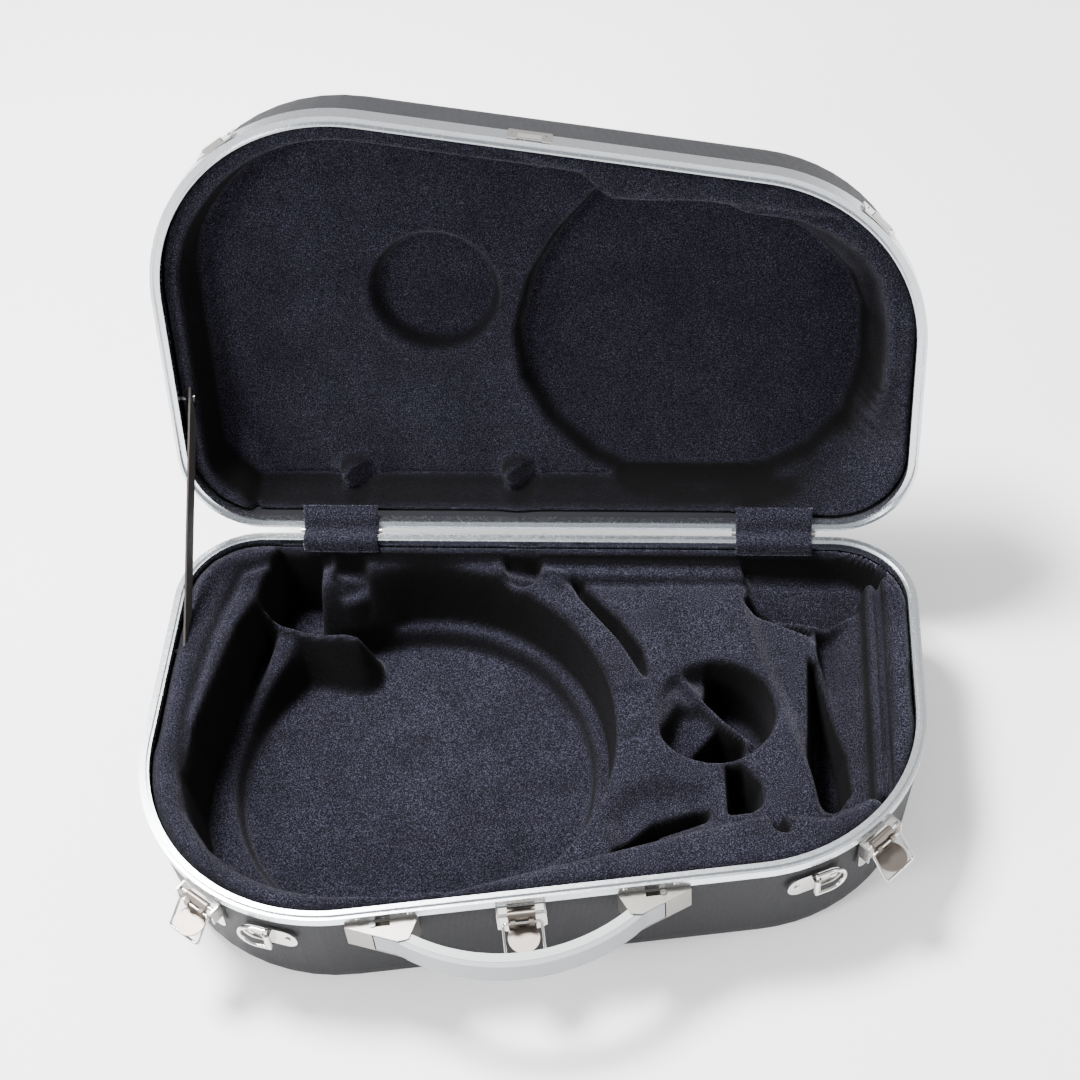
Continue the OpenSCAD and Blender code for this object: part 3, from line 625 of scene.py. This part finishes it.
def metal(name, colour, rough, grain=(1.0, 1.0, 1.0), grain_scale=400, strength=0.08, dirt=0.06):
    """Metal with fine grain and broad darker patches."""
    n = Nodes(name)
    b = n.bsdf(Metallic=1.0)
    fine = n.noise(grain_scale, 3, n.coords(grain))
    broad = n.noise(14, 2)
    dark = tuple(c * (1 - dirt * 2) for c in colour)
    n.link(n.ramp(broad, [(0.3, dark), (0.7, colour)]), b.inputs["Base Color"])
    n.link(n.span(fine, rough * 0.75, rough * 1.3), b.inputs["Roughness"])
    n.link(n.bump(fine, strength, 0.0003), b.inputs["Normal"])
    return n.m


def plastic(name, dark, light, rough):
    n = Nodes(name)
    b = n.bsdf()
    fine = n.noise(500, 3)
    n.link(n.ramp(n.noise(9, 2), [(0.3, dark), (0.7, light)]), b.inputs["Base Color"])
    n.link(n.span(fine, rough * 0.8, rough * 1.2), b.inputs["Roughness"])
    n.link(n.bump(fine, 0.15, 0.0003), b.inputs["Normal"])
    return n.m


def webbing():
    n = Nodes("webbing")
    b = n.bsdf(Roughness=0.85)
    w = n.add("ShaderNodeTexWave", bands_direction="Y", Scale=420)
    n.link(n.coords(), w.inputs["Vector"])
    weave = n.ramp(w.outputs["Fac"], [(0.0, (0.010, 0.008, 0.007)), (1.0, (0.060, 0.050, 0.046))])
    n.link(weave, b.inputs["Base Color"])
    n.link(n.bump(w.outputs["Fac"], 0.6, 0.0005), b.inputs["Normal"])
    return n.m


def paint(o, m):
    o.data.materials.clear()
    o.data.materials.append(m)
    return o


VELOUR = velour("velour_cover", None)
# the base and lid linings get painted shade on their walls, darker where they turn from this up direction
BASE_VELOUR = velour("velour_base", (0, 0, 1))
LID_VELOUR = velour("velour_lid", (0, -math.sin(LID_OPEN), -math.cos(LID_OPEN)))
SHELL = shell_skin()
RIM = metal("rim_metal", (0.66, 0.69, 0.72), 0.25, (1, 1, 1), 300, 0.02, dirt=0.02)
NICKEL = metal("nickel", (0.66, 0.64, 0.62), 0.15)
STEEL = metal("steel", (0.50, 0.48, 0.46), 0.30)
LEVER = metal("lever_steel", (0.19, 0.165, 0.145), 0.36, (6, 1, 1), 260, 0.15)
BRACKET = metal("bracket_metal", (0.26, 0.245, 0.225), 0.34, strength=0.1)
BAND = plastic("grip_band_plastic", (0.20, 0.22, 0.235), (0.25, 0.27, 0.285), 0.32)
INSERT = plastic("grip_insert_plastic", (0.36, 0.37, 0.38), (0.42, 0.43, 0.44), 0.30)
STRAP = webbing()

# ---- linings ----

base_lining = paint(lining("base_lining", base_height, in_base, base_floor), BASE_VELOUR)
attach(base_lining, "case")
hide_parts("base_floor_pad", "bell_ledge_pad", "bell_wall_pad", "rear_corner_pad",
            "valve_block", "slide_block", "accessory_wall",
            "left_edge_pad", "front_edge_pad", "right_edge_pad", "rear_edge_pad")

lid_lining = paint(lining("lid_lining", lambda p: -lid_depth(p), in_lid, lid_roof), LID_VELOUR)
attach(lid_lining, "lid")
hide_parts("lid_main_pad", "lid_front_block", "lid_left_pad", "lid_front_pad", "lid_right_pad",
            "lid_rear_pad")

# ---- hinge flaps and lid strap, which on the case bend as the lid shuts; built here in the open lid's shape ----


def loft(name, rings):
    """Closed skin over equal rings of points, capped at both ends."""
    n, m = len(rings), len(rings[0])
    faces = []
    for i in range(n - 1):
        for j in range(m):
            k = (j + 1) % m
            faces.append((i * m + j, i * m + k, (i + 1) * m + k, (i + 1) * m + j))
    faces += [tuple(range(m))[::-1], tuple((n - 1) * m + j for j in range(m))]
    return new_object(name, np.asarray(rings).reshape(-1, 3) * MM, faces)


def smooth_path(points, count, rounds):
    """The path through points, resampled evenly and then rounded off."""
    points = np.asarray(points, float)
    along = np.r_[0, np.cumsum(np.hypot(*np.diff(points, axis=0).T))]
    s = np.linspace(0, along[-1], count)
    path = np.column_stack([np.interp(s, along, points[:, k]) for k in (0, 1)])
    for _ in range(rounds):
        path[1:-1] = 0.5 * path[1:-1] + 0.25 * (path[:-2] + path[2:])
    return path


def lid_face(up, out):
    """[y, z] that far up the open lid's rim face from the hinge line and in front of it."""
    c, s = math.cos(LID_OPEN), math.sin(LID_OPEN)
    return (HINGE_Y - up * c - out * s, BASE_H + up * s - out * c)


FLAP_W, FLAP_T = 64.0, 1.2
FLAP_COLUMNS = 25
# [y, z] from inside the base's rear wall, over both rims, to inside the lid
FLAP_PATH = smooth_path([
    (172.2, 106), (172.4, 112), (173.4, 118.4), (176, 120), (181, 119.8), (184.6, 120), lid_face(5, 2.0),
    lid_face(9, 1.8), lid_face(13.5, 1.6), lid_face(18, -1.5), lid_face(22, -6)
], 36, 6)


def hinge_flap(name, middle, seed):
    tangent = np.gradient(FLAP_PATH, axis=0)
    normal = np.column_stack([-tangent[:, 1], tangent[:, 0]]) / np.hypot(*tangent.T)[:, None]
    across = np.linspace(-0.5, 0.5, FLAP_COLUMNS)
    turned_edge = 0.36 * (2 * np.abs(across)) ** 8
    rings = []
    for i, (q, n) in enumerate(zip(FLAP_PATH, normal)):
        t = i / (len(FLAP_PATH) - 1)
        width = FLAP_W * (1 - 0.02 * math.sin(math.pi * t) + 0.004 * math.sin(9 * t + seed))
        wave = 0.35 * np.sin(across * 9 + seed + 3 * t) * math.sin(math.pi * t) - turned_edge
        front = [(middle + a * width, *(q + n * (w + FLAP_T / 2))) for a, w in zip(across, wave)]
        back = [(middle + a * width, *(q + n * (w - FLAP_T / 2))) for a, w in zip(across, wave)]
        rings.append(front + back[::-1])
    o = paint(loft(name, rings), VELOUR)
    return o


for side, middle, seed in (("left", -175.0, 0.4), ("right", 192.0, 2.1)):
    flap = hinge_flap("hinge_flap_" + side, middle, seed)
    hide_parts("hinge_cover_" + side)
    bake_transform(flap)

STRAP_X, STRAP_W, STRAP_T = -291.2, 20.0, 1.6
STRAP_PAST = 8  # webbing beyond each rivet
STRAP_BASE = np.array([66.0, 104.0])
STRAP_LID = np.array(lid_face(HINGE_Y - 65.0, -14.0))
strap_run = STRAP_LID - STRAP_BASE
strap_dir = strap_run / np.hypot(*strap_run)
strap_side = np.array([-strap_dir[1], strap_dir[0]])
stations = np.linspace(-STRAP_PAST, np.hypot(*strap_run) + STRAP_PAST, 90)
strap_section = [(-0.5, -0.5), (0.5, -0.5), (0.5, 0.5), (-0.5, 0.5)]
strap_rings = []
for s in stations:
    q = STRAP_BASE + strap_dir * s
    strap_rings.append([(STRAP_X + u * STRAP_T, *(q + strap_side * v * STRAP_W)) for u, v in strap_section])
strap = paint(loft("strap_web", strap_rings), STRAP)
shade_smooth(strap, False)
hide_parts("lid_strap")
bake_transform(strap)

# ---- materials of the CAD nodes ----

# the first row that a node's name starts with gives its material
NODE_MATERIALS = [
    (("base_shell", "lid_shell"), SHELL),
    (("base_rim", "lid_rim"), RIM),
    (("handle_grip",), BAND),
    (("handle_insert",), INSERT),
    (("handle_bracket",), BRACKET),
    (("latch_lever",), LEVER),
    (("hinge_", "strap_anchor"), STEEL),
    (("",), NICKEL),
]
WIDE_BEVEL, THIN_BEVEL = 0.0008, 0.0003

for node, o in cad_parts.items():
    if o.hide_render:
        continue
    m = next(finish for starts, finish in NODE_MATERIALS if node.startswith(starts))
    paint(o, m)
    thick = m in (BRACKET, BAND, INSERT)
    if thick or node.startswith(("latch_plate", "strike_left", "strike_centre", "strike_right")):
        bevel = o.modifiers.new("soft_edges", "BEVEL")
        bevel.width = WIDE_BEVEL if thick else THIN_BEVEL
        bevel.segments = 2
        bevel.limit_method = "ANGLE"
        bevel.angle_limit = math.radians(35)

# ---- studio ----


def look(o, target):
    """Turns a light to face a point."""
    o.rotation_mode = "QUATERNION"
    o.rotation_quaternion = (Vector(target) - o.location).to_track_quat("-Z", "Y")


def floor_white():
    """Pale floor that glows a little, so that it stays near white."""
    n = Nodes("floor_white")
    b = n.bsdf(Roughness=0.9, Emission_Color=(1, 1, 1, 1), Emission_Strength=0.24)
    n.link(n.ramp(n.noise(3, 1), [(0.0, (0.955,) * 3), (1.0, (0.97,) * 3)]), b.inputs["Base Color"])
    return n.m


FLOOR = 6
corners = [(-FLOOR, -FLOOR, 0), (FLOOR, -FLOOR, 0), (FLOOR, FLOOR, 0), (-FLOOR, FLOOR, 0)]
paint(new_object("floor", corners, [(0, 1, 2, 3)], False), floor_white())


def area(name, location, target, size, power):
    light = bpy.data.lights.new(name, "AREA")
    light.shape = "RECTANGLE"
    light.size, light.size_y = size
    light.energy = power
    o = bpy.data.objects.new(name, light)
    o.location = location
    bpy.context.scene.collection.objects.link(o)
    look(o, target)


area("key", (-0.75, 0.45, 2.15), (0, 0.0, 0.1), (0.6, 0.6), 200)
area("front", (-1.6, -1.5, 1.5), (0, 0.15, 0.25), (0.6, 0.6), 62)
area("side", (1.9, -0.6, 1.3), (0, 0.1, 0.15), (0.8, 1.2), 14)

world = bpy.data.worlds.new("studio")
bpy.context.scene.world = world
world.use_nodes = True
background = world.node_tree.nodes["Background"]
background.inputs["Color"].default_value = (1, 1, 1, 1)
background.inputs["Strength"].default_value = 0.8

# the photo's point of view: above the front, turned to the left and rolled a little
CAMERA_AT = (0.138, -0.8816, 1.4007)
CAMERA_LENS, CAMERA_SENSOR = 65.86, 36
PITCH, YAW, ROLL = math.radians(50.22), math.radians(-7.65), math.radians(-5.45)

camera = bpy.data.cameras.new("camera")
camera.lens = CAMERA_LENS
camera.sensor_width = CAMERA_SENSOR
camera.clip_start = 0.05
camera.dof.use_dof = False
cam = bpy.data.objects.new("camera", camera)
bpy.context.scene.collection.objects.link(cam)
bpy.context.scene.camera = cam
forward = Vector((math.sin(YAW) * math.cos(PITCH), math.cos(YAW) * math.cos(PITCH), -math.sin(PITCH)))
level = Vector((math.cos(YAW), -math.sin(YAW), 0))
upright = level.cross(forward)
right = math.cos(ROLL) * level + math.sin(ROLL) * upright
up = -math.sin(ROLL) * level + math.cos(ROLL) * upright
view = Matrix((right, up, -forward)).transposed().to_4x4()
view.translation = Vector(CAMERA_AT)
cam.matrix_world = view
